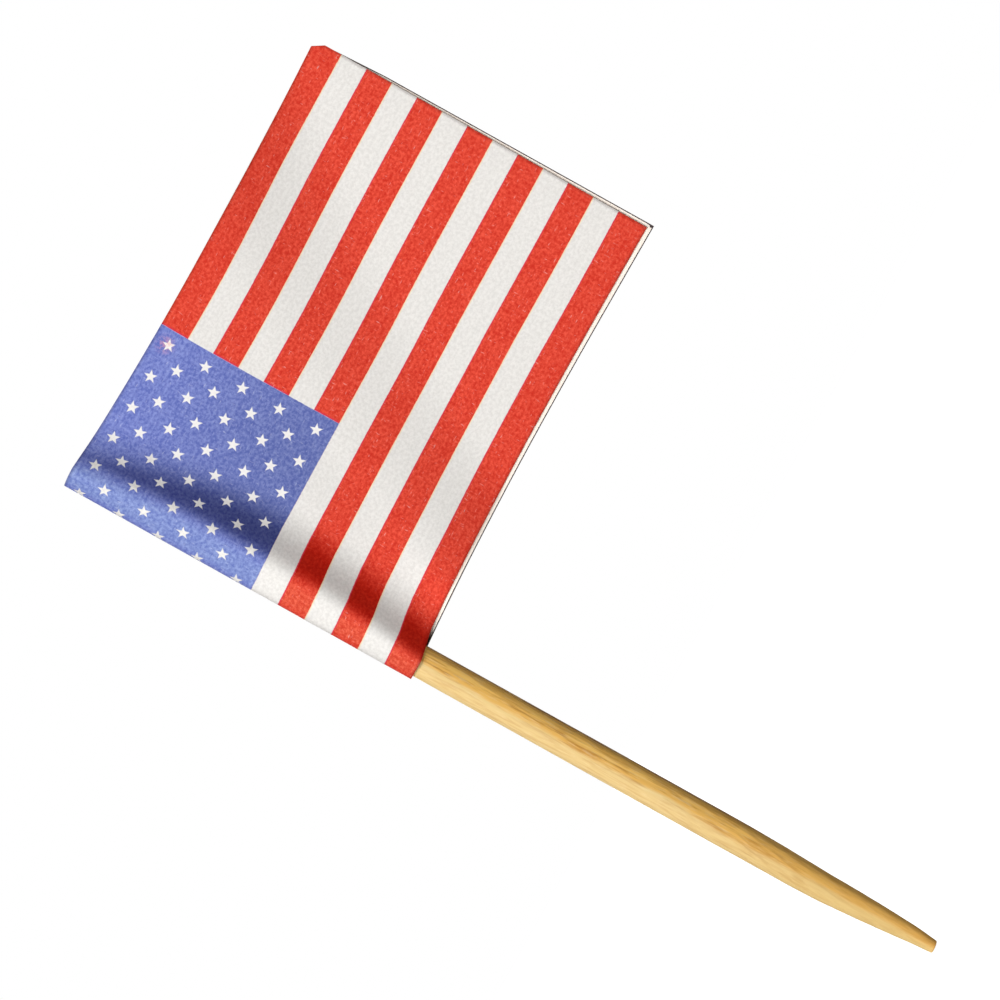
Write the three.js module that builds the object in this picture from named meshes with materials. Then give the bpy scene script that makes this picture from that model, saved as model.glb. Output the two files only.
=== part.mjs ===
import * as THREE from 'three';

// Flag pick: a small printed paper flag, folded and glued round a wooden cocktail stick.
// Sizes are in millimetres. The stick stands on its blunt point, which is the origin, and
// +Z runs up the stick. The flag flies towards +X and its front leaf faces -Y.

// Wooden stick
const stickLength = 65;
const stickDiameter = 2.2;
const bluntDiameter = 0.88;
const pointLength = 17;
// A straight cone has a fullness of 1, and a rounder point has more.
const pointFullness = 2.45;
const bluntRounding = 0.12;
const headRounding = 0.18;

// Paper sheet: its thickness, how much of the stick it covers, and its width from the stick's
// axis to the fly
const paperThickness = 0.12;
const flagHeight = 26.2;
const flagWidth = 32.65;
const headMargin = 0.03;

// Glue, and the air that is left on each side of it
const sleeveGlueThickness = 0.06;
const leafGlueThickness = 0.04;
const glueClearance = 0.03;
const leafGlueMargin = 1.6;
const sleeveGlueMargin = 1.2;
// The film in the sleeve runs round the back and the hoist side of the stick, in degrees.
const sleeveGlueSpan = [-185, -76];

// Cut of the sheet: its long edges bow in, and the foot runs up a little towards the fly. A bow
// is deepest nearer to the stick than to the fly where its shift is below 1.
const headBow = 0.46;
const headBowShift = 0.88;
const footBow = 0.4;
const footBowShift = 0.8;
const footRunIn = 0.55;
// The fold is a little askew, so the back leaf hangs lower than the front leaf, a little more so
// at the fly, and past its fly. The setback is how far the front leaf's fly stands back from
// the back leaf's, at the head and at the foot.
const skewHeight = 0.26;
const skewGain = 0.1;
const skewRun = 2.4;
const flySetback = [0.12, 0.32];
// The top corner of the fly is nipped off.
const nipWidth = 0.5;
const nipHeight = 0.9;

// Form of the folded sheet at three stations down the hoist: head, middle and foot.
// Runs are widths along the fly. The two rises are above the plane that the fly lies in.
// The front leaves the stick early, so it stands off the stick like a tent.
const frontLeaveAngle = [-70, -47, -63];
const backLeaveAngle = [50, 11, 35];
const flankRun = [2.16, 3.74, 1.96];
const valleyRise = [1.65, 1.19, 0.93];
const crestRun = [14, 5.1, 2.1];
const crestRise = [1.9, 0.93, 1.54];
const landingRun = [13.7, 10.3, 7.4];
// A flank holds its direction over a share of its width: first at the stick, then at the valley.
const frontHold = [0.63, 0.56];
const backHold = [0.4, 0.4];

// Faces
const stickSides = 32;
const pointRings = 9;
const sheetRows = 12;
const sleeveColumns = 10;
const flankColumns = 10;
const leafColumns = 9;
// Above 1, rings stand closer at the point's tip, and columns beside the stick.
const ringCrowding = 1.3;
const columnCrowding = 1.2;
// How far to each side the leaf is looked at to find its slope
const slopeStep = 0.01;

// Sizes that follow from the ones above
const stickRadius = stickDiameter / 2;
const glueGap = leafGlueThickness + 2 * glueClearance;
const sleeveGap = sleeveGlueThickness + 2 * glueClearance;
const sleeveRadius = stickRadius + sleeveGap + paperThickness / 2;
const leafOffset = (glueGap + paperThickness) / 2;
// The fly lies in the plane that touches the back of the sleeve.
const landingDepth = leafOffset - sleeveRadius;
const headEdge = stickLength + headMargin;
const footEdge = headEdge - flagHeight;

const degrees = Math.PI / 180;
const blend = (from, to, share) => from + (to - from) * share;

// A value that passes smoothly through its three stations, at a share from head to foot.
function atStation(stations, share) {
  const [head, middle, foot] = stations;
  const headWeight = (1 - share) * (1 - 2 * share);
  const middleWeight = 4 * share * (1 - share);
  const footWeight = share * (2 * share - 1);
  return head * headWeight + middle * middleWeight + foot * footWeight;
}

// A soft step from 0 to 1 between two reaches, level at both ends.
function softStep(start, end, reach) {
  const t = Math.min(Math.max((reach - start) / (end - start), 0), 1);
  return t * t * (3 - 2 * t);
}

// Reach of the valley, where the front leaf meets the back leaf beside the stick.
function valleyReach(share) {
  return sleeveRadius + atStation(flankRun, share);
}

// Depth of the leaf's glue line, which is positive in front of the stick's axis: the valley
// beside the stick, a low crest, then a slope down to the plane that the fly lies in.
function leafDepth(share, reach) {
  const crest = valleyReach(share) + atStation(crestRun, share);
  const landing = crest + atStation(landingRun, share);
  const toCrest = softStep(valleyReach(share), crest, reach);
  const toLanding = softStep(crest, landing, reach);
  const rise = blend(atStation(valleyRise, share), atStation(crestRise, share), toCrest);
  return landingDepth + blend(rise, 0, toLanding);
}

// A point beside the leaf's glue line, square to it. A positive offset is on the front.
function besideLeaf(share, reach, offset) {
  const before = leafDepth(share, reach - slopeStep);
  const after = leafDepth(share, reach + slopeStep);
  const rise = (after - before) / (2 * slopeStep);
  const length = Math.hypot(rise, 1);
  const depth = leafDepth(share, reach) + offset / length;
  return new THREE.Vector2(reach - (offset * rise) / length, depth);
}

// The flank runs from the round sleeve into the leaf, smooth at both ends.
function flankCurve(share, side) {
  const leave = atStation(side > 0 ? frontLeaveAngle : backLeaveAngle, share) * degrees;
  const start = new THREE.Vector2(sleeveRadius * Math.sin(leave), side * sleeveRadius * Math.cos(leave));
  const end = besideLeaf(share, valleyReach(share), side * leafOffset);
  const [startHold, endHold] = side > 0 ? frontHold : backHold;
  const width = start.distanceTo(end);
  const leaving = new THREE.Vector2(Math.cos(leave), -side * Math.sin(leave));
  const afterStart = start.clone().addScaledVector(leaving, startHold * width);
  const beforeEnd = new THREE.Vector2(end.x - endHold * width, end.y);
  return new THREE.CubicBezierCurve(start, afterStart, beforeEnd, end);
}

// How far the back leaf hangs below the front leaf, at a reach from the stick's axis.
function foldSkew(reach) {
  return skewHeight * softStep(0, skewRun, reach) + (skewGain * Math.max(reach, 0)) / flagWidth;
}

// How far a long edge bows in, at a share of the way from the stick's axis to the fly.
function edgeBow(depth, shift, share) {
  return depth * Math.sin(Math.PI * Math.pow(Math.min(share, 1), shift));
}

// Height of a point of the sheet, from its head edge at share 0 to its foot edge at share 1.
function sheetHeight(share, reach, side) {
  const t = Math.max(reach, 0) / flagWidth;
  const nip = (nipHeight * Math.max(reach - (flagWidth - nipWidth), 0)) / nipWidth;
  const frontHead = headEdge - edgeBow(headBow, headBowShift, t) - nip;
  const backFoot = footEdge + edgeBow(footBow, footBowShift, t) + footRunIn * t;
  const head = side > 0 ? frontHead : frontHead - foldSkew(reach);
  const foot = side > 0 ? backFoot + foldSkew(reach) : backFoot;
  return blend(head, foot, share);
}

// Reach of the cut fly edge. The front leaf's edge slants back towards the foot.
function flyReach(share, side) {
  return side > 0 ? flagWidth - blend(...flySetback, share) : flagWidth;
}

// A point of the sheet's middle: flat.x is its reach, and flat.y its depth.
function sheetPoint(share, flat, side) {
  return new THREE.Vector3(flat.x, -flat.y, sheetHeight(share, flat.x, side));
}

// Both leaves take their form from the height that a point really has. The leaves are cut
// askew, so that is a little off the point's own share of the sheet.
function formShare(share, reach, side) {
  return (headEdge - sheetHeight(share, reach, side)) / flagHeight;
}

// The middle of one leaf past its valley. Its columns stand closer near the stick, and the
// last but one stands where the nip starts.
function leafPoints(share, side) {
  const start = valleyReach(formShare(share, valleyReach(share), side));
  const end = flyReach(share, side);
  const reaches = [];
  for (let i = 1; i <= leafColumns; i += 1) {
    reaches.push(blend(start, end - nipWidth, Math.pow(i / leafColumns, columnCrowding)));
  }
  reaches.push(end);
  return reaches.map((reach) => {
    const form = formShare(share, reach, side);
    return sheetPoint(share, besideLeaf(form, reach, side * leafOffset), side);
  });
}

// The middle of one flank, from where it leaves the round sleeve to its valley.
function flankPoints(share, side) {
  const form = formShare(share, valleyReach(share), side);
  return flankCurve(form, side).getPoints(flankColumns).map((flat) => sheetPoint(share, flat, side));
}

// One section of the folded sheet, from the back leaf's fly round the stick to the front's.
function sheetSection(share) {
  const start = -180 - atStation(backLeaveAngle, share);
  const end = atStation(frontLeaveAngle, share);
  const sleeve = [];
  for (let i = 1; i < sleeveColumns; i += 1) {
    const turn = blend(start, end, i / sleeveColumns) * degrees;
    const flat = new THREE.Vector2(Math.sin(turn), Math.cos(turn)).multiplyScalar(sleeveRadius);
    sleeve.push(sheetPoint(share, flat, flat.y > 0 ? 1 : -1));
  }
  const back = [...flankPoints(share, -1), ...leafPoints(share, -1)].reverse();
  return [...back, ...sleeve, ...flankPoints(share, 1), ...leafPoints(share, 1)];
}

// A closed solid of even thickness about a grid of points, which is a list of equal rows.
// Columns before the fold are split along their other diagonal, so folded facets match.
function thickSheet(rows, thickness, foldColumn = 0) {
  const last = { row: rows.length - 1, column: rows[0].length - 1 };
  const within = (place, limit) => Math.min(Math.max(place, 0), limit);
  const at = (row, column) => rows[within(row, last.row)][within(column, last.column)];
  const positions = [];
  for (const layer of [1, -1]) {
    for (let row = 0; row <= last.row; row += 1) {
      for (let column = 0; column <= last.column; column += 1) {
        const along = at(row, column + 1).clone().sub(at(row, column - 1));
        const down = at(row + 1, column).clone().sub(at(row - 1, column));
        const normal = along.cross(down).normalize();
        const point = at(row, column).clone().addScaledVector(normal, (layer * thickness) / 2);
        positions.push(point.x, point.y, point.z);
      }
    }
  }
  const columns = last.column + 1;
  const layerSize = columns * (last.row + 1);
  const top = (row, column) => row * columns + column;
  const under = (row, column) => layerSize + top(row, column);
  const faces = [];
  const quad = (a, b, c, d) => faces.push(a, b, c, a, c, d);
  for (let row = 0; row < last.row; row += 1) {
    for (let column = 0; column < last.column; column += 1) {
      for (const layer of [top, under]) {
        const near = [layer(row, column), layer(row + 1, column)];
        const far = [layer(row, column + 1), layer(row + 1, column + 1)];
        const ring = [near[0], far[0], far[1], near[1]];
        const turned = layer === under ? ring.reverse() : ring;
        const odd = (column < foldColumn) !== (layer === under);
        quad(...(odd ? [...turned.slice(1), turned[0]] : turned));
      }
    }
    const next = row + 1;
    const end = last.column;
    quad(top(row, 0), top(next, 0), under(next, 0), under(row, 0));
    quad(top(next, end), top(row, end), under(row, end), under(next, end));
  }
  for (let column = 0; column < last.column; column += 1) {
    const next = column + 1;
    const end = last.row;
    quad(top(0, next), top(0, column), under(0, column), under(0, next));
    quad(top(end, column), top(end, next), under(end, next), under(end, column));
  }
  const geometry = new THREE.BufferGeometry();
  geometry.setAttribute('position', new THREE.Float32BufferAttribute(positions, 3));
  geometry.setIndex(faces);
  geometry.computeVertexNormals();
  return geometry;
}

// The stick is turned: a full, slightly rounded point, a straight shank and a sawn head.
function stickGeometry() {
  const bluntRadius = bluntDiameter / 2;
  const profile = [new THREE.Vector2(0, 0), new THREE.Vector2(bluntRadius - bluntRounding, 0)];
  for (let i = 0; i <= pointRings; i += 1) {
    const height = blend(bluntRounding, pointLength, Math.pow(i / pointRings, ringCrowding));
    const swell = 1 - Math.pow(1 - height / pointLength, pointFullness);
    profile.push(new THREE.Vector2(blend(bluntRadius, stickRadius, swell), height));
  }
  profile.push(new THREE.Vector2(stickRadius, stickLength - headRounding));
  profile.push(new THREE.Vector2(stickRadius - headRounding, stickLength));
  profile.push(new THREE.Vector2(0, stickLength));
  return new THREE.LatheGeometry(profile, stickSides).rotateX(Math.PI / 2);
}

// The sheet is one piece of paper, lofted through its sections from head to foot.
function sheetGeometry() {
  const rows = [];
  for (let row = 0; row <= sheetRows; row += 1) {
    rows.push(sheetSection(row / sheetRows));
  }
  return thickSheet(rows, paperThickness, rows[0].length / 2);
}

// Halfway between the two leaves, from the valley to the fly.
function betweenLeaves(share) {
  const front = [flankPoints(share, 1).at(-1), ...leafPoints(share, 1)];
  const back = [flankPoints(share, -1).at(-1), ...leafPoints(share, -1)];
  return front.map((point, i) => point.clone().lerp(back[i], 0.5));
}

// The places from start to end in a list: the two ends, and each whole step between them.
function trimmed(start, end) {
  const places = [start];
  for (let step = Math.floor(start) + 1; step < end; step += 1) {
    places.push(step);
  }
  return [...places, end];
}

// The dried film between the leaves has the leaves' own facets, so its gap to them is even.
// It starts at the valley and stops a little short of the paper's three cut edges.
function leafGlueGeometry() {
  const rowHeight = flagHeight / sheetRows;
  const margin = leafGlueMargin / rowHeight;
  const rows = trimmed(margin, sheetRows - margin).map((place) => {
    const above = betweenLeaves(Math.floor(place) / sheetRows);
    const below = betweenLeaves(Math.ceil(place) / sheetRows);
    const row = above.map((point, i) => point.clone().lerp(below[i], place % 1));
    const end = row.at(-1).x - leafGlueMargin;
    const kept = row.filter((point) => point.x < end);
    const from = kept.at(-1);
    const to = row[kept.length];
    return [...kept, from.clone().lerp(to, (end - from.x) / (to.x - from.x))];
  });
  const columns = Math.min(...rows.map((row) => row.length));
  return thickSheet(rows.map((row) => row.slice(-columns)), leafGlueThickness);
}

// The glue that grips the stick lines the closed side of the sleeve.
function sleeveGlueGeometry() {
  const radius = stickRadius + glueClearance + sleeveGlueThickness / 2;
  const rows = [];
  for (const height of [headEdge - sleeveGlueMargin, footEdge + sleeveGlueMargin]) {
    const points = [];
    for (let i = 0; i <= sleeveColumns; i += 1) {
      const turn = blend(...sleeveGlueSpan, i / sleeveColumns) * degrees;
      points.push(new THREE.Vector3(radius * Math.sin(turn), -radius * Math.cos(turn), height));
    }
    rows.push(points);
  }
  return thickSheet(rows, sleeveGlueThickness);
}

function piece(name, geometry, colour, roughness) {
  const material = new THREE.MeshStandardMaterial({ color: colour, roughness, metalness: 0 });
  const mesh = new THREE.Mesh(geometry, material);
  mesh.name = name;
  return mesh;
}

const flagPick = new THREE.Group();
flagPick.add(piece('stick', stickGeometry(), 0xe3bf83, 0.72));
flagPick.add(piece('flag_sheet', sheetGeometry(), 0xdf4938, 0.62));
flagPick.add(piece('leaf_glue', leafGlueGeometry(), 0xefe9da, 0.45));
flagPick.add(piece('sleeve_glue', sleeveGlueGeometry(), 0xefe9da, 0.45));

export default flagPick;
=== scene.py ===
import math

import bmesh
import bpy
from mathutils import Matrix, Vector, noise


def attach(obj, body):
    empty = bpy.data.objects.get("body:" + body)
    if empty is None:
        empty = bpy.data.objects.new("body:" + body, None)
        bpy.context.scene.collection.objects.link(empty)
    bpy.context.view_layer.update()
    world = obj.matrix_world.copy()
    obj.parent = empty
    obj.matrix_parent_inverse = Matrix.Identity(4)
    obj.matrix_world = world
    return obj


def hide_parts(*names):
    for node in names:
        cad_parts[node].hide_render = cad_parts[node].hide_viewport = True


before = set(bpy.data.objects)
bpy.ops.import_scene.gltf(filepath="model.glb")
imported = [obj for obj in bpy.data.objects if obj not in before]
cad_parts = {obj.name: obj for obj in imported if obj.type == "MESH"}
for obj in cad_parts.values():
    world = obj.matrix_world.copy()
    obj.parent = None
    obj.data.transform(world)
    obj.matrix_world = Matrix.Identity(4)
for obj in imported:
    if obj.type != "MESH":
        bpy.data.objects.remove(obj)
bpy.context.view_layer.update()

# Wooden stick.
# A round stick, turned from pale, straight-grained wood. Its foot is worked to a long, full point
# that stops blunt and a little askew, and its head is sawn square inside the paper.
MM = 0.001
STICK_LENGTH = 65.0
STICK_RADIUS = 1.1
BLUNT_RADIUS = 0.44
BLUNT_ROUNDING = 0.12
HEAD_ROUNDING = 0.18
POINT_LENGTH = 17.0
POINT_FULLNESS = 2.45
POINT_RINGS, SHANK_RINGS, STICK_SIDES = 60, 120, 96
RING_CROWDING = 1.15
# How far the worked point wanders from the stick's axis toward the fly, height by height.
POINT_WANDER = ((0.0, 0.04), (1.7, 0.073), (3.0, 0.05), (4.3, 0.03), (5.6, 0.0), (7.0, -0.03),
                (8.3, -0.065), (10.3, -0.053), (12.2, -0.02), (14.9, 0.0), (STICK_LENGTH, 0.0))
# How much the blunt end slants, how far up the slant reaches, and how far up the lift fades out
# that sets the end back on the ground.
BLUNT_SLANT, SLANT_REACH, LIFT_REACH = 0.09, 1.6, 5.0
FLAT_DEPTH, FUZZ_DEPTH, POINT_SWELL = 0.016, 0.004, 0.02
EARLY_WOOD, LATE_WOOD = (0.80, 0.575, 0.25), (0.84, 0.485, 0.12)
# Painted light: these brighter woods lift the fly side, which faces away from the key light.
FLY_PAINTED_LIGHT_WOOD, FLY_PAINTED_LIGHT_DEEP_WOOD = (1.0, 0.615, 0.155), (1.0, 0.58, 0.13)
# The first brown is painted shade along the stick's fly edge.
FLY_EDGE_SHADE_BROWN, STREAK_BROWN, FLECK_BROWN = (0.32, 0.11, 0.015), (0.50, 0.21, 0.04), (0.46, 0.20, 0.04)
PALE_FIBRE = (0.90, 0.70, 0.38)
# The tip's fly-side wood is partly painted light on its shaded side.
TIP_HOIST_WOOD, TIP_FLY_WOOD_AND_LIGHT = (0.72, 0.50, 0.19), (0.85, 0.47, 0.11)


def blend(start, end, share):
    return start + (end - start) * share


def wander_at(height):
    """How far the point has wandered at a height, eased from one measured height to the next."""
    for (low, first), (high, second) in zip(POINT_WANDER, POINT_WANDER[1:]):
        if height <= high:
            t = min(max((height - low) / (high - low), 0.0), 1.0)
            return blend(first, second, t * t * (3 - 2 * t))
    return 0.0


def stick_profile():
    """Half of the stick's outline, from the middle of the blunt end to the middle of the head."""
    outline = [(0.0, 0.0), (0.5 * (BLUNT_RADIUS - BLUNT_ROUNDING), 0.0)]
    for step in range(5):
        turn = 0.5 * math.pi * step / 4
        outline.append((BLUNT_RADIUS - BLUNT_ROUNDING * (1 - math.sin(turn)),
                        BLUNT_ROUNDING * (1 - math.cos(turn))))
    for ring in range(1, POINT_RINGS + 1):
        height = blend(BLUNT_ROUNDING, POINT_LENGTH, (ring / POINT_RINGS) ** RING_CROWDING)
        start = BLUNT_ROUNDING / POINT_LENGTH
        rest = (1 - height / POINT_LENGTH) / (1 - start)
        outline.append((blend(BLUNT_RADIUS, STICK_RADIUS, 1 - rest ** POINT_FULLNESS), height))
    for ring in range(1, SHANK_RINGS + 1):
        height = blend(POINT_LENGTH, STICK_LENGTH - HEAD_ROUNDING, ring / SHANK_RINGS)
        outline.append((STICK_RADIUS, height))
    outline.append((STICK_RADIUS - 0.3 * HEAD_ROUNDING, STICK_LENGTH - 0.3 * HEAD_ROUNDING))
    outline.append((STICK_RADIUS - HEAD_ROUNDING, STICK_LENGTH))
    outline.append((0.0, STICK_LENGTH))
    return outline


stick_mesh = bmesh.new()
chain = [stick_mesh.verts.new((radius, 0, height)) for radius, height in stick_profile()]
for lower, upper in zip(chain, chain[1:]):
    stick_mesh.edges.new((lower, upper))
bmesh.ops.spin(stick_mesh, geom=stick_mesh.verts[:] + stick_mesh.edges[:], cent=(0, 0, 0),
               axis=(0, 0, 1), angle=2 * math.pi, steps=STICK_SIDES, use_merge=True)
bmesh.ops.remove_doubles(stick_mesh, verts=stick_mesh.verts[:], dist=0.0005)
bmesh.ops.recalc_face_normals(stick_mesh, faces=stick_mesh.faces[:])

for vert in stick_mesh.verts:
    x, y, z = vert.co
    radius = math.hypot(x, y)
    if radius > 0.05:
        # Turning leaves long, shallow flats and hollows along the grain. On the shank they only
        # take wood away.
        flats = noise.noise(Vector((x * 1.3, y * 1.3, z * 0.11)))
        fuzz = noise.noise(Vector((x * 5.0, y * 5.0, z * 0.5 + 40)))
        swell = 0.0 if z > POINT_LENGTH else POINT_SWELL
        worn = min(FLAT_DEPTH * flats + FUZZ_DEPTH * fuzz, swell)
        x, y = x * (1 + worn / radius), y * (1 + worn / radius)
    # The blunt end is cut askew: its fly side stops a little shorter than its hoist side.
    end = max(0.0, 1 - z / SLANT_REACH)
    slant = BLUNT_SLANT * (0.5 + x / (2 * BLUNT_RADIUS))
    vert.co = (x + wander_at(z), y, z + end * slant)
lift = min(vert.co.z for vert in stick_mesh.verts)
for vert in stick_mesh.verts:
    vert.co.z -= lift * max(0.0, 1 - vert.co.z / LIFT_REACH)
    vert.co *= MM
for face in stick_mesh.faces:
    face.smooth = True

stick_data = bpy.data.meshes.new("turned_stick")
stick_mesh.to_mesh(stick_data)
stick_mesh.free()
turned_stick = bpy.data.objects.new("turned_stick", stick_data)
bpy.context.scene.collection.objects.link(turned_stick)

wood = bpy.data.materials.new("pale turned wood")
wood.use_nodes = True
wood_nodes = wood.node_tree.nodes
wood_links = wood.node_tree.links
wood_shader = wood_nodes["Principled BSDF"]
wood_shader.inputs["Specular IOR Level"].default_value = 0.04


def calc(tree, operation, *values):
    """A Math node on numbers and sockets, which returns its result socket."""
    node = tree.nodes.new("ShaderNodeMath")
    node.operation = operation
    for place, value in enumerate(values):
        if isinstance(value, (int, float)):
            node.inputs[place].default_value = value
        else:
            tree.links.new(value, node.inputs[place])
    return node.outputs[0]


def step_between(tree, value, start, end):
    """A soft step of a socket's value: 0 up to start, and 1 from end."""
    node = tree.nodes.new("ShaderNodeMapRange")
    node.interpolation_type = "SMOOTHSTEP"
    node.inputs["From Min"].default_value = start
    node.inputs["From Max"].default_value = end
    tree.links.new(value, node.inputs["Value"])
    return node.outputs[0]


def mix_colours(tree, factor, first, second, kind="MIX"):
    """A colour mixed from two colours or sockets by a factor, which is a number or a socket."""
    node = tree.nodes.new("ShaderNodeMix")
    node.data_type = "RGBA"
    node.blend_type = kind
    for place, value in ((0, factor), (6, first), (7, second)):
        socket = node.inputs[place]
        if isinstance(value, bpy.types.NodeSocket):
            tree.links.new(value, socket)
        elif isinstance(value, (int, float)):
            socket.default_value = value
        else:
            socket.default_value = (*value, 1)
    return node.outputs[2]


def grain(tree, place, scale, size, detail=3.0, roughness=0.55):
    """Noise on a place that is stretched by scale; size is the noise's own scale."""
    mapping = tree.nodes.new("ShaderNodeMapping")
    mapping.inputs["Scale"].default_value = scale
    tree.links.new(place, mapping.inputs["Vector"])
    node = tree.nodes.new("ShaderNodeTexNoise")
    node.inputs["Scale"].default_value = size
    node.inputs["Detail"].default_value = detail
    node.inputs["Roughness"].default_value = roughness
    tree.links.new(mapping.outputs[0], node.inputs["Vector"])
    return node.outputs[0]


def bump(tree, shader, height, strength, distance):
    """Relief on a shader from a height socket, with its depth in metres."""
    node = tree.nodes.new("ShaderNodeBump")
    node.inputs["Strength"].default_value = strength
    node.inputs["Distance"].default_value = distance
    tree.links.new(height, node.inputs["Height"])
    tree.links.new(node.outputs[0], shader.inputs["Normal"])


wood_tree = wood.node_tree
wood_place = wood_nodes.new("ShaderNodeTexCoord").outputs["Object"]
wood_axes = wood_nodes.new("ShaderNodeSeparateXYZ")
wood_links.new(wood_place, wood_axes.inputs[0])
toward_fly, _, up_stick = wood_axes.outputs
broad_grain = grain(wood_tree, wood_place, (1, 1, 0.1), 1300)
fine_grain = grain(wood_tree, wood_place, (1, 1, 0.08), 6000, 4)
pores = grain(wood_tree, wood_place, (1, 1, 0.11), 8500, 3)
# Year rings run along the stick: early wood on the hoist side and late wood from the middle. Past
# it, toward the fly, a brighter band is painted light that lifts the side turned from the key
# light, and a brown ring at the fly side is painted shade along the stick's edge. Their places are
# in metres.
ring_wave = calc(wood_tree, "MULTIPLY", calc(wood_tree, "SUBTRACT", broad_grain, 0.5), 0.001)
ring_place = calc(wood_tree, "ADD", toward_fly, ring_wave)
late_wood = step_between(wood_tree, ring_place, -0.00018, 0.00018)
fly_painted_light = step_between(wood_tree, ring_place, 0.00036, 0.0006)
fly_painted_light_deep = step_between(wood_tree, ring_place, 0.0006, 0.00085)
# Painted shade: the brown ring darkens the fly edge, which turns away from the light.
fly_edge_painted_shade = step_between(wood_tree, ring_place, 0.00088, 0.00106)
fly_edge_shade_share = calc(wood_tree, "MULTIPLY", fly_edge_painted_shade, 0.85)
wood_colour = mix_colours(wood_tree, late_wood, EARLY_WOOD, LATE_WOOD)
wood_colour = mix_colours(wood_tree, fly_painted_light, wood_colour, FLY_PAINTED_LIGHT_WOOD)
wood_colour = mix_colours(wood_tree, fly_painted_light_deep, wood_colour, FLY_PAINTED_LIGHT_DEEP_WOOD)
wood_colour = mix_colours(wood_tree, fly_edge_shade_share, wood_colour, FLY_EDGE_SHADE_BROWN)
# Fine brown streaks run through it, most in the late wood, with pale fibres between them.
streaks = step_between(wood_tree, fine_grain, 0.44, 0.66)
streak_share = calc(wood_tree, "MULTIPLY_ADD", late_wood, 0.5, 0.28)
# There are fewer streaks in the painted light on the fly side.
streak_share = calc(wood_tree, "MULTIPLY_ADD", fly_painted_light, -0.34, streak_share)
streak_share = calc(wood_tree, "MULTIPLY", streaks, streak_share)
wood_colour = mix_colours(wood_tree, streak_share, wood_colour, STREAK_BROWN)
pale_share = calc(wood_tree, "MULTIPLY", step_between(wood_tree, pores, 0.48, 0.72), 0.35)
wood_colour = mix_colours(wood_tree, pale_share, wood_colour, PALE_FIBRE)
# The worked point cuts across the grain, so darker flecks lie aslant there.
slanted = wood_nodes.new("ShaderNodeVectorRotate")
slanted.rotation_type = "Y_AXIS"
slanted.inputs["Angle"].default_value = math.radians(-7)
wood_links.new(wood_place, slanted.inputs["Vector"])
fleck_noise = grain(wood_tree, slanted.outputs[0], (1, 1, 0.12), 3800, 4)
flecks = step_between(wood_tree, fleck_noise, 0.47, 0.63)
fleck_share = calc(wood_tree, "MULTIPLY", step_between(wood_tree, up_stick, 0.021, 0.013), 0.44)
fleck_share = calc(wood_tree, "MULTIPLY", flecks, fleck_share)
wood_colour = mix_colours(wood_tree, fleck_share, wood_colour, FLECK_BROWN)
# Toward the tip the rings run out into one tone, a little redder on the fly side, and brighter
# there too: painted light on the side in shade.
tip_share = calc(wood_tree, "MULTIPLY", step_between(wood_tree, up_stick, 0.021, 0.003), 0.7)
tip_fly_side_and_light = step_between(wood_tree, ring_place, -0.00045, 0.0005)
tip_colour = mix_colours(wood_tree, tip_fly_side_and_light, TIP_HOIST_WOOD, TIP_FLY_WOOD_AND_LIGHT)
wood_colour = mix_colours(wood_tree, tip_share, wood_colour, tip_colour)
wood_links.new(wood_colour, wood_shader.inputs["Base Color"])
wood_links.new(step_between(wood_tree, fine_grain, -0.9, 1.9), wood_shader.inputs["Roughness"])
bump(wood_tree, wood_shader, fine_grain, 0.6, 0.00003)
stick_data.materials.append(wood)
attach(turned_stick, "root")
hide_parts("stick")

# Printed paper flag.
# One sheet of thin uncoated paper, printed on one side with a mirrored pair of flags, is folded
# round the stick and glued to itself. It makes the sleeve, the front leaf and the back leaf.
PAPER_THICKNESS = 0.12
FLAG_HEIGHT = 26.2
FLAG_WIDTH = 32.65
HEAD_EDGE = STICK_LENGTH + 0.03
FOOT_EDGE = HEAD_EDGE - FLAG_HEIGHT
SLEEVE_RADIUS = 1.28
# The leaves lie this far from their glue line, and closer past the glue, at the cuts.
LEAF_OFFSET, CUT_OFFSET, GLUE_MARGIN = 0.11, 0.07, 1.6
LANDING_DEPTH = LEAF_OFFSET - SLEEVE_RADIUS
# The cut edges: how far the head and the foot bow in, how far the two leaves slip askew past the
# sleeve, how far the front leaf's fly is set back at its head and its foot, and the nipped corner.
HEAD_BOW, HEAD_BOW_SHIFT = 0.46, 0.88
FOOT_BOW, FOOT_BOW_SHIFT, FOOT_RUN_IN = 0.4, 0.8, 0.55
SKEW_HEIGHT, SKEW_GAIN, SKEW_RUN = 0.26, 0.1, 2.4
FLY_SETBACK = (0.165, 0.31)
NIP_WIDTH, NIP_HEIGHT = 0.65, 1.08
CORNER_SLANT, CORNER_SLANT_RUN = 0.17, 0.16
# The fold's form. Three values are for the head, the middle and the foot: the angles in degrees
# at which the leaves leave the sleeve, then the runs and rises of valley, crest and landing.
FRONT_LEAVE, BACK_LEAVE = (-70, -47, -63), (50, 11, 35)
FLANK_RUN, VALLEY_RISE = (2.16, 3.74, 1.96), (1.65, 1.19, 0.93)
CREST_RUN, CREST_RISE = (14.0, 5.1, 2.1), (1.9, 0.93, 1.54)
LANDING_RUN = (13.7, 10.3, 7.4)
# How long each flank holds its direction at the sleeve and at the valley, as shares of its span.
FRONT_HOLD, BACK_HOLD = (0.63, 0.56), (0.4, 0.4)
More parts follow.
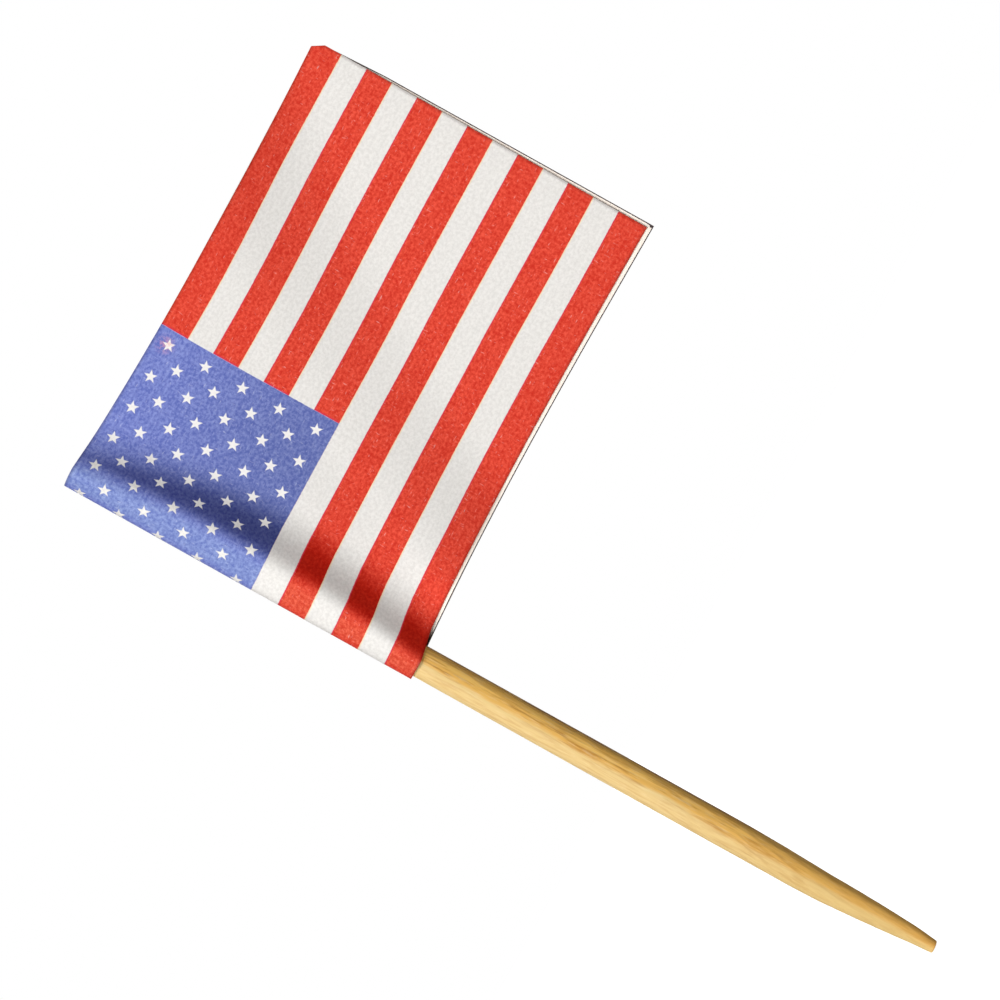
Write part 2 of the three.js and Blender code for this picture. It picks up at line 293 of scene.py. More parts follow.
# Where the painted shade of the valley lies on a flank, as shares of its way, and how softly it
# starts and ends. The painted highlight on the crown lies between a reach past the hoist line and a
# share before the painted shade.
VALLEY_SHADE_START, VALLEY_SHADE_END, VALLEY_SHADE_SOFTNESS = (0.56, 0.36, 0.37), (0.63, 0.85, 0.82), (0.12, 0.16)
CROWN_HIGHLIGHT_START, CROWN_HIGHLIGHT_END = (-1.2, -0.8), (0.22, 0.02)
SHEET_ROWS, SLEEVE_COLUMNS, FLANK_COLUMNS, LEAF_COLUMNS = 104, 30, 36, 78
LEAF_CROWDING = 1.1


def at_station(stations, share):
    """A value that passes smoothly through its stations at the head, the middle and the foot."""
    head, middle, foot = stations
    return (head * (1 - share) * (1 - 2 * share) + middle * 4 * share * (1 - share)
            + foot * share * (2 * share - 1))


def soft_step(start, end, reach):
    t = min(max((reach - start) / (end - start), 0.0), 1.0)
    return t * t * (3 - 2 * t)


def valley_reach(share):
    return SLEEVE_RADIUS + at_station(FLANK_RUN, share)


def leaf_depth(share, reach):
    """Depth of the two leaves' glue line: valley, low crest, and the slope down to the fly."""
    valley = valley_reach(share)
    crest = valley + at_station(CREST_RUN, share)
    landing = crest + at_station(LANDING_RUN, share)
    rise = blend(at_station(VALLEY_RISE, share), at_station(CREST_RISE, share),
                 soft_step(valley, crest, reach))
    return LANDING_DEPTH + blend(rise, 0.0, soft_step(crest, landing, reach))


def beside_leaf(share, reach, offset):
    """A point of the section beside the glue line, square to it: its reach and its depth."""
    rise = (leaf_depth(share, reach + 0.01) - leaf_depth(share, reach - 0.01)) / 0.02
    length = math.hypot(rise, 1.0)
    return Vector((reach - offset * rise / length, leaf_depth(share, reach) + offset / length))


def leaf_offset(share, from_fly):
    """How far a leaf lies from the glue line. Past the glue, the two leaves come closer."""
    inside = min(share * FLAG_HEIGHT, (1 - share) * FLAG_HEIGHT, from_fly)
    return blend(CUT_OFFSET, LEAF_OFFSET, soft_step(0, GLUE_MARGIN, inside))


def flank_point(share, side, part, offset):
    """A point of the flank, which runs from the round sleeve into the valley."""
    leave = math.radians(at_station(FRONT_LEAVE if side > 0 else BACK_LEAVE, share))
    start = Vector((SLEEVE_RADIUS * math.sin(leave), side * SLEEVE_RADIUS * math.cos(leave)))
    end = beside_leaf(share, valley_reach(share), side * offset)
    near_hold, far_hold = FRONT_HOLD if side > 0 else BACK_HOLD
    span = (end - start).length
    near = start + near_hold * span * Vector((math.cos(leave), -side * math.sin(leave)))
    far = end - Vector((far_hold * span, 0))
    rest = 1 - part
    return (rest ** 3 * start + 3 * rest ** 2 * part * near + 3 * rest * part ** 2 * far
            + part ** 3 * end)


def sheet_height(share, reach, side):
    """Height of a point of the sheet, between its bowed head edge and foot edge."""
    t = max(reach, 0.0) / FLAG_WIDTH
    head_bow = HEAD_BOW * math.sin(math.pi * min(t, 1.0) ** HEAD_BOW_SHIFT)
    foot_bow = FOOT_BOW * math.sin(math.pi * min(t, 1.0) ** FOOT_BOW_SHIFT)
    nip = NIP_HEIGHT * max(reach - (FLAG_WIDTH - NIP_WIDTH), 0.0) / NIP_WIDTH
    skew = SKEW_HEIGHT * soft_step(0.0, SKEW_RUN, reach) + SKEW_GAIN * t
    head = HEAD_EDGE - head_bow - nip - (0 if side > 0 else skew)
    foot = FOOT_EDGE + foot_bow + FOOT_RUN_IN * t + (skew if side > 0 else 0)
    return blend(head, foot, share)


def form_share(share, reach, side):
    return (HEAD_EDGE - sheet_height(share, reach, side)) / FLAG_HEIGHT


def leaf_point(share, side, part):
    """A point of a leaf past its valley, as reach and depth. The last part is the fly's edge,
    which the knife slanted in a little at the head."""
    start = valley_reach(form_share(share, valley_reach(share), side))
    slant = CORNER_SLANT * max(0.0, 1 - share / CORNER_SLANT_RUN)
    end = FLAG_WIDTH - max(slant, blend(*FLY_SETBACK, share) if side > 0 else 0)
    reach = end if part > 1 else blend(start, FLAG_WIDTH - NIP_WIDTH, part ** LEAF_CROWDING)
    offset = leaf_offset(share, end - reach)
    return beside_leaf(form_share(share, reach, side), reach, side * offset)


def section_of_sheet(share):
    """One section of the folded sheet, from the back leaf's fly round the stick to the front's.
    Each place is a point, its side, and its part of the way from the sleeve to the valley."""
    halves = []
    for side in (-1, 1):
        form = form_share(share, valley_reach(share), side)
        offset = leaf_offset(share, FLAG_WIDTH)
        parts = [i / FLANK_COLUMNS for i in range(FLANK_COLUMNS + 1)]
        half = [(flank_point(form, side, part, offset), side, part) for part in parts]
        for i in range(1, LEAF_COLUMNS + 2):
            half.append((leaf_point(share, side, i / LEAF_COLUMNS), side, 2))
        halves.append(half)
    start = -180 - at_station(BACK_LEAVE, share)
    end = at_station(FRONT_LEAVE, share)
    sleeve = []
    for i in range(1, SLEEVE_COLUMNS):
        turn = math.radians(blend(start, end, i / SLEEVE_COLUMNS))
        flat = Vector((SLEEVE_RADIUS * math.sin(turn), SLEEVE_RADIUS * math.cos(turn)))
        sleeve.append((flat, 1 if flat.y > 0 else -1, 0))
    return halves[0][::-1] + sleeve + halves[1]


sections = [section_of_sheet(row / SHEET_ROWS) for row in range(SHEET_ROWS + 1)]
sheet_columns = len(sections[0]) - 1
sheet_mesh = bmesh.new()
bmesh.ops.create_grid(sheet_mesh, x_segments=sheet_columns, y_segments=SHEET_ROWS, size=1,
                      calc_uvs=False)
print_map = sheet_mesh.loops.layers.uv.new("print")
edge_gap = sheet_mesh.verts.layers.float.new("edge_gap")
valley_painted_shade = sheet_mesh.verts.layers.float.new("valley_painted_shade")
crown_painted_highlight = sheet_mesh.verts.layers.float.new("crown_painted_highlight")
across, down = {}, {}
for vert in sheet_mesh.verts:
    column = round((vert.co.x + 1) / 2 * sheet_columns)
    row = round((1 - vert.co.y) / 2 * SHEET_ROWS)
    share = row / SHEET_ROWS
    flat, side, part = sections[row][column]
    across[vert], down[vert] = column, row
    # Painted shade lies on the flank between the sleeve and the valley, and a painted highlight
    # lies on the crown.
    start, end = at_station(VALLEY_SHADE_START, share), at_station(VALLEY_SHADE_END, share)
    start_softness, end_softness = VALLEY_SHADE_SOFTNESS
    vert[valley_painted_shade] = (soft_step(start - start_softness, start + start_softness, part)
                    - soft_step(end - end_softness, end + end_softness, part))
    vert[crown_painted_highlight] = (soft_step(*CROWN_HIGHLIGHT_START, flat.x)
                    * (1 - soft_step(start - CROWN_HIGHLIGHT_END[0], start - CROWN_HIGHLIGHT_END[1], part)))
    vert.co = Vector((flat.x, -flat.y, sheet_height(share, flat.x, side)))

# The print is laid out on the flat sheet. Across is the distance along the paper from the sleeve's
# hoist line, and down is the share of the print's height. The knife did not follow the print: these
# are the heights of its head and foot lines, by the distance from the line that it is mirrored on.
PRINT_FOLD = -0.305
PRINT_HEIGHT = 26.4
PRINT_LINES = (
    (0.0, 65.22, 38.62), (2.0, 65.14, 38.66), (3.7, 65.08, 38.82), (5.0, 65.02, 39.03),
    (6.4, 64.96, 39.20), (9.05, 64.82, 39.36), (11.7, 64.74, 39.48), (14.4, 64.67, 39.61),
    (16.7, 64.62, 39.69), (19.0, 64.62, 39.73), (21.65, 64.70, 39.76), (24.3, 64.82, 39.79),
    (26.95, 64.96, 39.75), (29.6, 65.03, 39.73), (32.25, 65.06, 39.74), (35.9, 65.08, 39.79))
DRAWN_OUT, DRAWN_REACH = 0.42, 2.0


def print_lines(distance):
    """Heights of the print's head line and foot line at a distance from its mirror line."""
    for (low, *first), (high, *second) in zip(PRINT_LINES, PRINT_LINES[1:]):
        if distance <= high:
            break
    share = min((distance - low) / (high - low), 1.0)
    return [blend(start, end, share) for start, end in zip(first, second)]


fold_distance = []
for section in sections:
    lengths = [0.0]
    for first, second in zip(section, section[1:]):
        lengths.append(lengths[-1] + (second[0] - first[0]).length)
    hoist = min(range(len(section)), key=lambda place: section[place][0].x)
    turned = math.atan2(section[hoist][0].x, section[hoist][0].y) + 0.5 * math.pi
    start = lengths[hoist] - SLEEVE_RADIUS * turned
    fold_distance.append([length - start for length in lengths])
for vert in sheet_mesh.verts:
    reach = fold_distance[down[vert]]
    share = down[vert] / SHEET_ROWS
    vert[edge_gap] = min(share * FLAG_HEIGHT, (1 - share) * FLAG_HEIGHT,
                         reach[across[vert]] - reach[0], reach[-1] - reach[across[vert]])
for edge in sheet_mesh.edges:
    edge.smooth = not edge.is_boundary
for face in sheet_mesh.faces:
    face.smooth = True
    for loop in face.loops:
        vert = loop.vert
        reach = fold_distance[down[vert]][across[vert]]
        head, foot = print_lines(abs(reach - PRINT_FOLD))
        # The print is drawn out a little where the sheet is bent round the stick.
        drawn = DRAWN_OUT * (1 - soft_step(0.0, DRAWN_REACH, abs(reach)))
        loop[print_map].uv = (reach + drawn, (head - vert.co.z) / (head - foot))
for vert in sheet_mesh.verts:
    vert.co *= MM
bmesh.ops.recalc_face_normals(sheet_mesh, faces=sheet_mesh.faces[:])
sleeve_face = min(sheet_mesh.faces, key=lambda face: face.calc_center_median().x)
if sleeve_face.normal.x > 0:
    bmesh.ops.reverse_faces(sheet_mesh, faces=sheet_mesh.faces[:])

sheet_data = bpy.data.meshes.new("paper_flag")
sheet_mesh.to_mesh(sheet_data)
sheet_mesh.free()
paper_flag = bpy.data.objects.new("paper_flag", sheet_data)
bpy.context.scene.collection.objects.link(paper_flag)

# Sizes across are in millimetres, and those down are shares of the print's height. The waist
# between a star's points is a share of its radius.
STRIPES, FIRST_STRIPE, STRIPE_SHARE = 13, 0.0075, 0.0757
STRIPE_HEIGHT = STRIPE_SHARE * PRINT_HEIGHT
CANTON_WIDTH, CANTON_SPREAD, CANTON_STRIPES = 13.99, 0.0085, 7
STAR_COLUMNS, STAR_ROWS = 11, 9
STAR_STEP, STAR_FIRST_ROW, STAR_ROW_STEP, STAR_SLIP = 1.182, 0.0488, 0.0555, 0.07
STAR_RADIUS, STAR_WAIST, STAR_NARROWING = 0.48, 0.42, 0.945
# How softly an ink ends and how far its edge wanders, how far the yellow ink slipped down, and how
# far it stops short of the blue. The smear's middle and its radius are in millimetres too.
INK_SPREAD, INK_WANDER, YELLOW_SLIP, YELLOW_STOP = 0.025, 0.05, 0.085, 0.1105
SMEAR_ACROSS, SMEAR_DOWN, SMEAR_RADIUS = 12.95, 1.05, 0.9
PAPER_WHITE, PAPER_GREY, STAR_WHITE = (0.865, 0.84, 0.805), (0.75, 0.725, 0.69), (0.97, 0.94, 0.93)
DEEP_RED, THIN_RED = (0.635, 0.034, 0.018), (0.86, 0.10, 0.058)
DEEP_BLUE, THIN_BLUE = (0.12, 0.157, 0.495), (0.27, 0.322, 0.685)
YELLOW, SLIPPED_RED, SMEAR_RED = (0.95, 0.72, 0.32), (0.68, 0.04, 0.07), (0.90, 0.22, 0.16)
# These tints multiply the ink's colour where the blue is heavy, for the painted shade in the
# valley, for the painted highlight on the crown, and for the painted shade along the cuts and the
# hoist.
HEAVY_BLUE_TINT = (0.78, 0.79, 0.78)
VALLEY_SHADE_RED_TINT, VALLEY_SHADE_BLUE_TINT = (0.74, 0.25, 0.18), (0.42, 0.42, 0.54)
CROWN_HIGHLIGHT_RED_TINT, CROWN_HIGHLIGHT_BLUE_TINT = (0.97, 1.45, 1.4), (1.12, 1.17, 0.98)
EDGE_SHADE_TINT, HOIST_SHADE_TINT = (0.30, 0.25, 0.25), (0.45, 0.42, 0.42)

paper = bpy.data.materials.new("printed paper")
paper.use_nodes = True
ink = paper.node_tree
paper_shader = ink.nodes["Principled BSDF"]
paper_shader.inputs["Specular IOR Level"].default_value = 0.04


def printed_place(tree):
    """Where a point is on the flat sheet, in millimetres: its distance across and down."""
    node = tree.nodes.new("ShaderNodeUVMap")
    node.uv_map = "print"
    parts = tree.nodes.new("ShaderNodeSeparateXYZ")
    tree.links.new(node.outputs[0], parts.inputs[0])
    height = calc(tree, "MULTIPLY", parts.outputs[1], PRINT_HEIGHT)
    joined = tree.nodes.new("ShaderNodeCombineXYZ")
    tree.links.new(parts.outputs[0], joined.inputs[0])
    tree.links.new(height, joined.inputs[1])
    return parts.outputs[0], height, joined.outputs[0]


across_sheet, down_sheet, flat_place = printed_place(ink)
wander_noise = grain(ink, flat_place, (1, 1, 1), 7.0, 2)
ink_wander = calc(ink, "MULTIPLY", calc(ink, "SUBTRACT", wander_noise, 0.5), INK_WANDER)
from_fold = calc(ink, "ABSOLUTE", calc(ink, "SUBTRACT", across_sheet, PRINT_FOLD))


def stripe_distance(height):
    """Distance outside the red stripes, in millimetres, which is below 0 inside one."""
    place = calc(ink, "SUBTRACT", height, FIRST_STRIPE * PRINT_HEIGHT)
    place = calc(ink, "DIVIDE", place, STRIPE_HEIGHT)
    place = calc(ink, "MINIMUM", calc(ink, "MAXIMUM", place, 0.5), STRIPES - 0.5)
    wave = calc(ink, "FLOORED_MODULO", calc(ink, "ADD", place, 0.5), 2.0)
    wave = calc(ink, "ABSOLUTE", calc(ink, "SUBTRACT", wave, 1.0))
    return calc(ink, "MULTIPLY", calc(ink, "SUBTRACT", wave, 0.5), STRIPE_HEIGHT)


def star_distance(first_column, first_row):
    """Distance outside the stars of one of the two square lattices that make the star field."""
    pitch_across, pitch_down = 2 * STAR_STEP, 2 * STAR_ROW_STEP * PRINT_HEIGHT
    beside = calc(ink, "SUBTRACT", from_fold, first_column * STAR_STEP - pitch_across / 2)
    beside = calc(ink, "FLOORED_MODULO", beside, pitch_across)
    beside = calc(ink, "SUBTRACT", beside, pitch_across / 2)
    beside = calc(ink, "DIVIDE", beside, STAR_NARROWING)
    row = (STAR_FIRST_ROW + first_row * STAR_ROW_STEP) * PRINT_HEIGHT
    below = calc(ink, "SUBTRACT", down_sheet, row - pitch_down / 2)
    below = calc(ink, "FLOORED_MODULO", below, pitch_down)
    below = calc(ink, "SUBTRACT", below, pitch_down / 2)
    above = calc(ink, "MULTIPLY", below, -1)
    radius = calc(ink, "ADD", calc(ink, "MULTIPLY", beside, beside),
                  calc(ink, "MULTIPLY", above, above))
    radius = calc(ink, "SQRT", radius)
    # A star is one half of one point, turned and mirrored ten times: only the distance beside the
    # slope from the point's tip to the waist between two points counts.
    point = 2 * math.pi / 5
    turn = calc(ink, "ADD", calc(ink, "ARCTAN2", beside, above), point / 2)
    turn = calc(ink, "SUBTRACT", calc(ink, "FLOORED_MODULO", turn, point), point / 2)
    turn = calc(ink, "ABSOLUTE", turn)
    waist = STAR_RADIUS * STAR_WAIST
    slope = Vector((waist * math.cos(point / 2) - STAR_RADIUS, waist * math.sin(point / 2)))
    slope.normalize()
    along = calc(ink, "MULTIPLY", radius, calc(ink, "COSINE", turn))
    along = calc(ink, "SUBTRACT", along, STAR_RADIUS)
    aside = calc(ink, "MULTIPLY", radius, calc(ink, "SINE", turn))
    return calc(ink, "ADD", calc(ink, "MULTIPLY", along, slope.y),
                calc(ink, "MULTIPLY", aside, -slope.x))


canton_foot = (FIRST_STRIPE + CANTON_STRIPES * STRIPE_SHARE) * PRINT_HEIGHT
canton_edge = calc(ink, "MULTIPLY_ADD", down_sheet, CANTON_SPREAD, CANTON_WIDTH)
outside_canton = calc(ink, "MAXIMUM", calc(ink, "SUBTRACT", from_fold, canton_edge),
                      calc(ink, "SUBTRACT", down_sheet, canton_foot))
field_head = (STAR_FIRST_ROW - 0.5 * STAR_ROW_STEP) * PRINT_HEIGHT
field_foot = (STAR_FIRST_ROW + (STAR_ROWS - 0.5) * STAR_ROW_STEP) * PRINT_HEIGHT
outside_columns = calc(ink, "MAXIMUM", calc(ink, "SUBTRACT", 0.5 * STAR_STEP, from_fold),
                       calc(ink, "SUBTRACT", from_fold, (STAR_COLUMNS + 0.5) * STAR_STEP))
outside_rows = calc(ink, "MAXIMUM", calc(ink, "SUBTRACT", field_head, down_sheet),
                    calc(ink, "SUBTRACT", down_sheet, field_foot))
outside_field = calc(ink, "MAXIMUM", outside_columns, outside_rows)
outside_stars = calc(ink, "MINIMUM", star_distance(1, 0), star_distance(2, 1 - STAR_SLIP))
outside_stars = calc(ink, "MAXIMUM", outside_stars, outside_field)
outside_blue = calc(ink, "MAXIMUM", outside_canton, calc(ink, "MULTIPLY", outside_stars, -1))
inside_canton = calc(ink, "MULTIPLY", outside_canton, -1)
outside_red = calc(ink, "MAXIMUM", stripe_distance(down_sheet), inside_canton)
slipped_place = calc(ink, "SUBTRACT", down_sheet, YELLOW_SLIP)
outside_yellow = calc(ink, "MAXIMUM", stripe_distance(slipped_place),
                      calc(ink, "ADD", inside_canton, YELLOW_STOP))


def inked(distance):
    """How much ink there is at a distance from a printed edge, which wanders a little."""
    return step_between(ink, calc(ink, "ADD", distance, ink_wander), INK_SPREAD, -INK_SPREAD)


red_ink, yellow_ink, blue_ink = inked(outside_red), inked(outside_yellow), inked(outside_blue)

# Paper fibres take the ink unevenly, in soft blotches a third of a millimetre wide, and a few
# pale hairs hardly take it.
blotches = grain(ink, flat_place, (1, 1, 1), 4.4, 3, 0.62)
cloud = grain(ink, flat_place, (1, 1, 1), 0.8, 2)
hairs_down = grain(ink, flat_place, (1, 0.18, 1), 9.0, 2)
hairs_across = grain(ink, flat_place, (0.22, 1, 1), 8.0, 2)
hairs = calc(ink, "MAXIMUM", hairs_down, hairs_across)
hairs_and_cloud = calc(ink, "ADD", calc(ink, "MULTIPLY", hairs, 0.2),
                       calc(ink, "MULTIPLY", cloud, 0.15))
uneven = calc(ink, "ADD", calc(ink, "MULTIPLY", blotches, 0.65), hairs_and_cloud)
thin_ink = step_between(ink, uneven, 0.37, 0.67)
pale_hairs = calc(ink, "MULTIPLY", step_between(ink, hairs, 0.64, 0.78), 0.3)

bare = mix_colours(ink, step_between(ink, blotches, 0.3, 0.7), PAPER_WHITE, PAPER_GREY)
# On the flat of the leaf, the stars stay whiter than the stripes.
beyond_fold = step_between(ink, from_fold, 3.0, 6.0)
star_share = calc(ink, "MULTIPLY", inked(outside_canton), beyond_fold)
star_share = calc(ink, "MULTIPLY", star_share, 0.5)
bare = mix_colours(ink, star_share, bare, STAR_WHITE)
red_tone = mix_colours(ink, thin_ink, DEEP_RED, THIN_RED)
blue_tone = mix_colours(ink, thin_ink, DEEP_BLUE, THIN_BLUE)
# The blue was printed heavier toward the canton's foot. All ink is painted darker in the valley
# beside the stick, as painted shade, and painted lighter on the crown over the stick, as a painted
# highlight.
heavy_blue = calc(ink, "MULTIPLY", step_between(ink, down_sheet, 0.0, canton_foot), beyond_fold)
blue_tone = mix_colours(ink, heavy_blue, blue_tone, HEAVY_BLUE_TINT, "MULTIPLY")
valley_shade_node = ink.nodes.new("ShaderNodeAttribute")
valley_shade_node.attribute_name = "valley_painted_shade"
crown_highlight_node = ink.nodes.new("ShaderNodeAttribute")
crown_highlight_node.attribute_name = "crown_painted_highlight"
valley_shade_share, crown_highlight_share = valley_shade_node.outputs["Fac"], crown_highlight_node.outputs["Fac"]
red_tone = mix_colours(ink, valley_shade_share, red_tone, VALLEY_SHADE_RED_TINT, "MULTIPLY")
red_tone = mix_colours(ink, crown_highlight_share, red_tone, CROWN_HIGHLIGHT_RED_TINT, "MULTIPLY")
blue_tone = mix_colours(ink, valley_shade_share, blue_tone, VALLEY_SHADE_BLUE_TINT, "MULTIPLY")
blue_tone = mix_colours(ink, crown_highlight_share, blue_tone, CROWN_HIGHLIGHT_BLUE_TINT, "MULTIPLY")
# The yellow ink has slipped toward the foot, so each red stripe is crimson along its head side and
# has a thin yellow line along its foot side.
red_tone = mix_colours(ink, yellow_ink, SLIPPED_RED, red_tone)
colour = mix_colours(ink, calc(ink, "MULTIPLY", yellow_ink, 0.5), bare, YELLOW)
colour = mix_colours(ink, red_ink, colour, red_tone)
colour = mix_colours(ink, blue_ink, colour, blue_tone)
# The pale hairs are left out of the painted shade in the valley.
pale_hairs = calc(ink, "MULTIPLY", pale_hairs, calc(ink, "SUBTRACT", 1, valley_shade_share))
colour = mix_colours(ink, pale_hairs, colour, bare)

# A smear of red ink lies in specks over one star of the front leaf, at the canton's corner by the
# head and the fly.
smear_across = calc(ink, "DIVIDE", calc(ink, "SUBTRACT", from_fold, SMEAR_ACROSS), SMEAR_RADIUS)
smear_down = calc(ink, "DIVIDE", calc(ink, "SUBTRACT", down_sheet, SMEAR_DOWN), SMEAR_RADIUS)
smear_reach = calc(ink, "ADD", calc(ink, "MULTIPLY", smear_across, smear_across),
                   calc(ink, "MULTIPLY", smear_down, smear_down))
smear_reach = calc(ink, "SQRT", smear_reach)
smear = calc(ink, "MULTIPLY", step_between(ink, smear_reach, 1.0, 0.1), 0.34)
smear = calc(ink, "MULTIPLY", smear, step_between(ink, blotches, 0.42, 0.58))
on_front = step_between(ink, across_sheet, PRINT_FOLD - 0.1, PRINT_FOLD + 0.1)
colour = mix_colours(ink, calc(ink, "MULTIPLY", smear, on_front), colour, SMEAR_RED)

# The print is painted darker along the cuts, and along the hoist, where the sheet bends away from
# the light: painted shade.
edge_node = ink.nodes.new("ShaderNodeAttribute")
edge_node.attribute_name = "edge_gap"
edge_shade = calc(ink, "MULTIPLY", step_between(ink, edge_node.outputs["Fac"], 0.26, 0.0), 0.5)
colour = mix_colours(ink, edge_shade, colour, EDGE_SHADE_TINT, "MULTIPLY")
from_hoist = calc(ink, "ABSOLUTE", across_sheet)
hoist_shade = calc(ink, "MULTIPLY", step_between(ink, from_hoist, 1.35, 0.2), 0.5)
colour = mix_colours(ink, hoist_shade, colour, HOIST_SHADE_TINT, "MULTIPLY")
ink.links.new(colour, paper_shader.inputs["Base Color"])
ink.links.new(step_between(ink, uneven, -0.4, 1.0), paper_shader.inputs["Roughness"])
bump(ink, paper_shader, uneven, 0.35, 0.00003)

# The inner face and the cut edges are bare paper. The inner face is painted dark along the cuts, a
# painted shade line, but not at the nipped corner, and painted brown round the stick, a painted
# shadow of the stick.
PLAIN_WHITE, PLAIN_CREAM = (1.0, 0.91, 0.82), (0.96, 0.85, 0.75)
STICK_SHADOW_BROWN, CUT_SHADE_DARK = (0.10, 0.055, 0.04), (0.06, 0.045, 0.045)
bare_paper = bpy.data.materials.new("bare paper")
bare_paper.use_nodes = True
plain = bare_paper.node_tree
plain_shader = plain.nodes["Principled BSDF"]
plain_shader.inputs["Specular IOR Level"].default_value = 0.04
plain_place = printed_place(plain)[2]
plain_fibres = grain(plain, plain_place, (1, 1, 1), 4.2, 4, 0.65)
plain_colour = mix_colours(plain, step_between(plain, plain_fibres, 0.35, 0.65),
                           PLAIN_WHITE, PLAIN_CREAM)
cut_node = plain.nodes.new("ShaderNodeAttribute")
cut_node.attribute_name = "edge_gap"
inner_face = step_between(plain, cut_node.outputs["Fac"], 0.0, 0.004)
cut_shade = step_between(plain, cut_node.outputs["Fac"], 0.085, 0.065)
plain_axes = plain.nodes.new("ShaderNodeSeparateXYZ")
plain.links.new(plain.nodes.new("ShaderNodeTexCoord").outputs["Object"], plain_axes.inputs[0])
below_corner = step_between(plain, plain_axes.outputs[2], 0.0638, 0.0612)
cut_shade = calc(plain, "MULTIPLY", cut_shade, below_corner)
cut_shade = calc(plain, "MULTIPLY", cut_shade, inner_face)
# Painted shadow of the stick on the inner face.
stick_painted_shadow = step_between(plain, plain_axes.outputs[0], 0.0023, 0.0016)
stick_painted_shadow = calc(plain, "MULTIPLY", stick_painted_shadow, inner_face)
plain_colour = mix_colours(plain, stick_painted_shadow, plain_colour, STICK_SHADOW_BROWN)
plain_colour = mix_colours(plain, cut_shade, plain_colour, CUT_SHADE_DARK)
plain.links.new(plain_colour, plain_shader.inputs["Base Color"])
plain.links.new(step_between(plain, plain_fibres, -0.4, 1.0), plain_shader.inputs["Roughness"])
bump(plain, plain_shader, plain_fibres, 0.35, 0.00003)

sheet_data.materials.append(paper)
sheet_data.materials.append(bare_paper)
thickness = paper_flag.modifiers.new("paper thickness", "SOLIDIFY")
thickness.thickness = PAPER_THICKNESS * MM
thickness.offset = 0
thickness.use_even_offset = True
thickness.material_offset = 1
thickness.material_offset_rim = 1
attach(paper_flag, "root")
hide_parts("flag_sheet")

# Glue between the leaves.
# A film of thin paper glue, brushed on and dried, joins the back leaf to the front leaf. It
# starts at the valley beside the stick and stops short of the paper's three cut edges.
GLUE_THICKNESS = 0.04
GLUE_START = 0.25
GLUE_ROWS, GLUE_COLUMNS = 60, 90
DRY_GLUE, THICK_GLUE = (0.86, 0.81, 0.67), (0.80, 0.73, 0.57)

glue_mesh = bmesh.new()
bmesh.ops.create_grid(glue_mesh, x_segments=GLUE_COLUMNS, y_segments=GLUE_ROWS, size=1)
margin_share = GLUE_MARGIN / FLAG_HEIGHT
for vert in glue_mesh.verts:
    part = (vert.co.x + 1) / 2
    share = blend(margin_share, 1 - margin_share, (1 - vert.co.y) / 2)
    start = valley_reach(share) + GLUE_START
    reach = blend(start, FLAG_WIDTH - GLUE_MARGIN, part)
    height = (sheet_height(share, reach, 1) + sheet_height(share, reach, -1)) / 2
    form = (HEAD_EDGE - height) / FLAG_HEIGHT
    vert.co = Vector((reach, -leaf_depth(form, reach), height)) * MM
bmesh.ops.recalc_face_normals(glue_mesh, faces=glue_mesh.faces[:])
for face in glue_mesh.faces:
    face.smooth = True
glue_data = bpy.data.meshes.new("leaf_glue_film")
glue_mesh.to_mesh(glue_data)
glue_mesh.free()
leaf_glue_film = bpy.data.objects.new("leaf_glue_film", glue_data)
bpy.context.scene.collection.objects.link(leaf_glue_film)
film = leaf_glue_film.modifiers.new("film thickness", "SOLIDIFY")
film.thickness = GLUE_THICKNESS * MM
film.offset = 0

glue = bpy.data.materials.new("dried paper glue")
glue.use_nodes = True
glue_tree = glue.node_tree
glue_shader = glue_tree.nodes["Principled BSDF"]
glue_shader.inputs["Specular IOR Level"].default_value = 0.5
glue_place = glue_tree.nodes.new("ShaderNodeTexCoord").outputs["Object"]
brushed = grain(glue_tree, glue_place, (0.2, 1, 1), 2500, 3)
glue_colour = mix_colours(glue_tree, step_between(glue_tree, brushed, 0.35, 0.65),
                          DRY_GLUE, THICK_GLUE)
glue_tree.links.new(glue_colour, glue_shader.inputs["Base Color"])
glue_tree.links.new(step_between(glue_tree, brushed, -0.3, 1.5), glue_shader.inputs["Roughness"])
bump(glue_tree, glue_shader, brushed, 0.3, 0.00002)
glue_data.materials.append(glue)
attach(leaf_glue_film, "root")
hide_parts("leaf_glue")

# Glue in the sleeve.
# The same dried paper glue, where it grips the stick on the closed side of the sleeve. It was put
# on the stick before the sheet was wrapped round it, and it cannot be seen from outside.
sleeve_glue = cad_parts["sleeve_glue"]
for place in range(len(sleeve_glue.data.materials)):
    sleeve_glue.data.materials[place] = glue

# Floor, light and camera.
# A plain pale floor stands under the point. The main light is wide and soft and comes from the
# hoist side, and the backs of the leaves have one of their own.
FLOOR_HALF, FLOOR_GLOW, FILL = 0.6, 0.85, 0.03
KEY_TURN, KEY_RISE, KEY_STRENGTH, KEY_SOFTNESS = math.radians(31.5), math.radians(12), 3.42, 40
BACK_STRENGTH, BACK_SOFTNESS = 2.2, 12
SENSOR, LENS, NEAREST = 36, 218.2, 0.01

floor_mesh = bmesh.new()
bmesh.ops.create_grid(floor_mesh, x_segments=1, y_segments=1, size=FLOOR_HALF)
floor_data = bpy.data.meshes.new("studio_floor")
floor_mesh.to_mesh(floor_data)
floor_mesh.free()
studio_floor = bpy.data.objects.new("studio_floor", floor_data)
bpy.context.scene.collection.objects.link(studio_floor)
floor_paint = bpy.data.materials.new("pale floor")
floor_paint.use_nodes = True
floor_tree = floor_paint.node_tree
floor_shader = floor_tree.nodes["Principled BSDF"]
floor_shader.inputs["Base Color"].default_value = (0.8, 0.8, 0.8, 1)
floor_shader.inputs["Roughness"].default_value = 0.9
floor_shader.inputs["Specular IOR Level"].default_value = 0.0
floor_shader.inputs["Emission Color"].default_value = (1, 1, 1, 1)


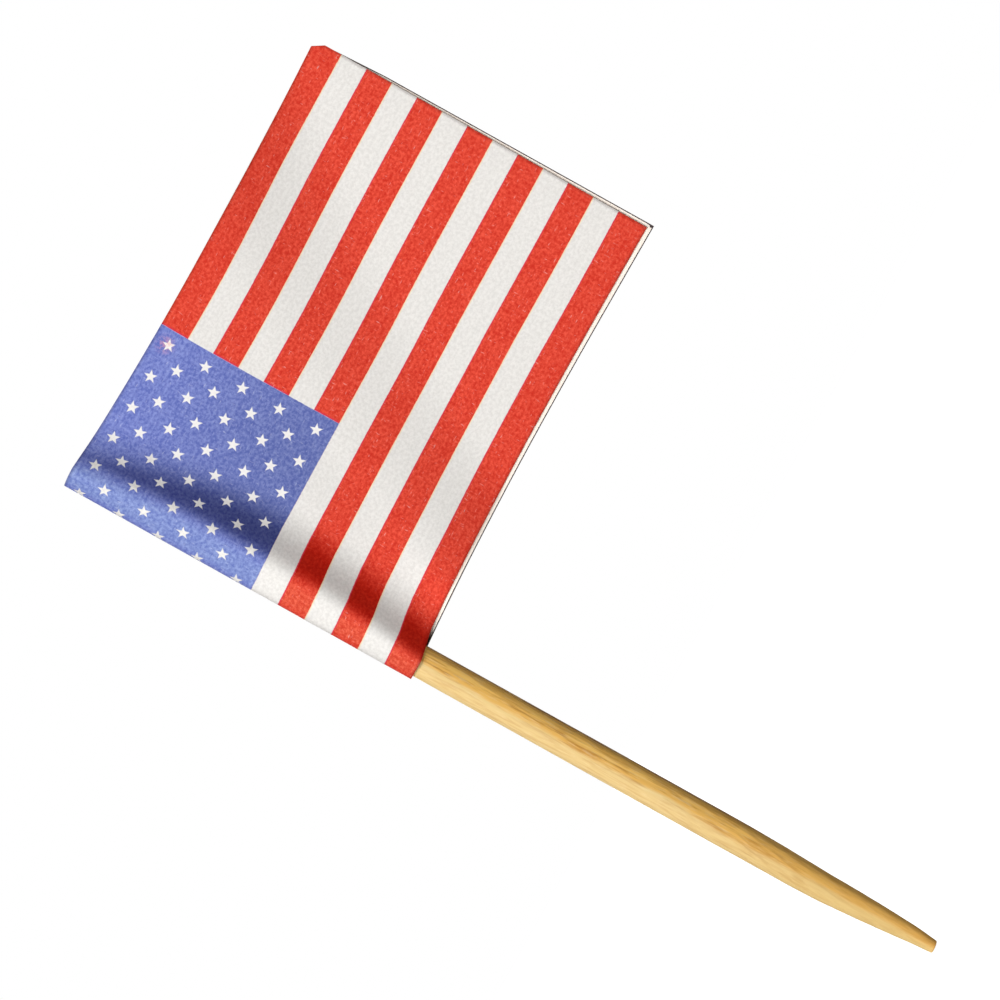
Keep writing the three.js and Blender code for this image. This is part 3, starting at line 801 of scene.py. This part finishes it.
def seen_directly(tree):
    """1 for rays from the camera, or off or through something clear, and 0 for the others."""
    path = tree.nodes.new("ShaderNodeLightPath")
    seen = calc(tree, "MAXIMUM", path.outputs["Is Camera Ray"], path.outputs["Is Glossy Ray"])
    return calc(tree, "MAXIMUM", seen, path.outputs["Is Transmission Ray"])


floor_tree.links.new(calc(floor_tree, "MULTIPLY", seen_directly(floor_tree), FLOOR_GLOW),
                     floor_shader.inputs["Emission Strength"])
floor_data.materials.append(floor_paint)

world = bpy.data.worlds.new("studio")
bpy.context.scene.world = world
world.use_nodes = True
sky_tree = world.node_tree
sky = sky_tree.nodes["Background"]
sky.inputs["Color"].default_value = (1, 1, 1, 1)
# The sky looks white, but lights the object only by the small fill.
sky_glow = calc(sky_tree, "MULTIPLY", seen_directly(sky_tree), 1 - FILL)
sky_tree.links.new(calc(sky_tree, "ADD", sky_glow, FILL), sky.inputs["Strength"])


def add_sun(name, towards, strength, softness):
    """A distant light that shines from the direction towards, softened by its width in degrees."""
    lamp = bpy.data.lights.new(name, "SUN")
    lamp.energy = strength
    lamp.angle = math.radians(softness)
    lamp_object = bpy.data.objects.new(name, lamp)
    bpy.context.scene.collection.objects.link(lamp_object)
    lamp_object.rotation_euler = Vector(towards).to_track_quat("Z", "Y").to_euler()


key_level = math.cos(KEY_RISE)
toward_key = (-math.sin(KEY_TURN) * key_level, -math.cos(KEY_TURN) * key_level, math.sin(KEY_RISE))
add_sun("key light", toward_key, KEY_STRENGTH, KEY_SOFTNESS)
add_sun("back light", (-0.3, 1.0, 0.3), BACK_STRENGTH, BACK_SOFTNESS)

# The camera looks square on at the front leaf. It is turned so that the stick lies aslant, as in
# the photo.
camera_data = bpy.data.cameras.new("camera")
camera_data.sensor_width = SENSOR
camera_data.lens = LENS
camera_data.clip_start = NEAREST
camera = bpy.data.objects.new("camera", camera_data)
bpy.context.scene.collection.objects.link(camera)
right, up, back = (0.4871, 0, -0.8733), (0.8733, 0, 0.4871), (0, -1, 0)
camera_turn = Matrix((right, up, back)).transposed().to_4x4()
camera.matrix_world = Matrix.Translation((0.01185, -0.4, 0.03946)) @ camera_turn
bpy.context.scene.camera = camera
bpy.context.scene.view_settings.view_transform = "Standard"
